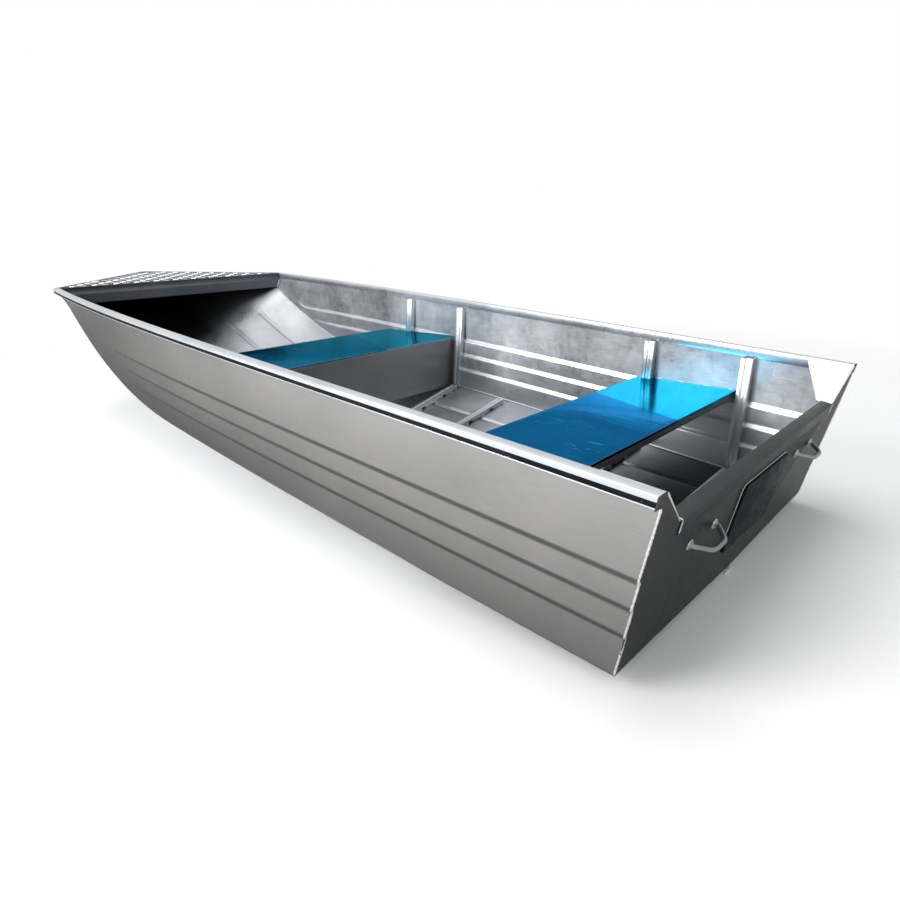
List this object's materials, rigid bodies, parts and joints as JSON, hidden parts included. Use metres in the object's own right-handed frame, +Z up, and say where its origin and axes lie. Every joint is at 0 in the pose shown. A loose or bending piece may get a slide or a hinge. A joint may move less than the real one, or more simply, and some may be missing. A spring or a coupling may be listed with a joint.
{
  "type": "open aluminium boat with a V bottom, two seats and a pointed foredeck",
  "caption": "Open aluminium boat with stepped sides, a V bottom swept up to a tread-plate foredeck, film-covered bench seats, hat-section frames and a raked low transom with lifting handles.",
  "frame": {"origin": "on the ground under the middle of the boat's length, on its middle plane", "axes": "+X to the bow, +Y to port, +Z up"},
  "size_m": [4.0635, 1.5108, 0.7718],
  "materials": {
    "hull_sheet": "mill finish rolled sheet, satin",
    "extrusion": "bright extruded",
    "tread_plate": "raised tread bars, bright",
    "frame": "satin, pressed",
    "rubber": "matte",
    "seat_film": "blue protective film with scratches",
    "motor_pad": "dark, scuffed",
    "cast_handle": "rough cast"
  },
  "bodies": {
    "root": {"hull_bottom": "hull_sheet", "side_port": "hull_sheet", "side_starboard": "hull_sheet", "transom": "hull_sheet", "transom_cap": "hull_sheet", "motor_pad": "motor_pad", "knee_port": "extrusion", "knee_starboard": "extrusion", "gunwale_port": "extrusion", "gunwale_starboard": "extrusion", "fender_port": "rubber", "fender_starboard": "rubber", "keel_strip": "hull_sheet", "runner_port": "hull_sheet", "runner_starboard": "hull_sheet", "bow_deck": "tread_plate", "bow_edge": "hull_sheet", "rib_1_port": "frame", "rib_1_starboard": "frame", "rib_2_port": "frame", "rib_2_starboard": "frame", "rib_3_port": "frame", "rib_3_starboard": "frame", "rib_4_port": "frame", "rib_4_starboard": "frame", "floor_1": "frame", "floor_2": "frame", "floor_mid_member": "frame", "floor_3": "frame", "floor_4": "frame", "seat_front": "seat_film", "seat_aft": "seat_film", "cleats_front": "frame", "cleats_aft": "frame", "handle_port": "cast_handle", "handle_starboard": "cast_handle"}
  },
  "joints": []
}
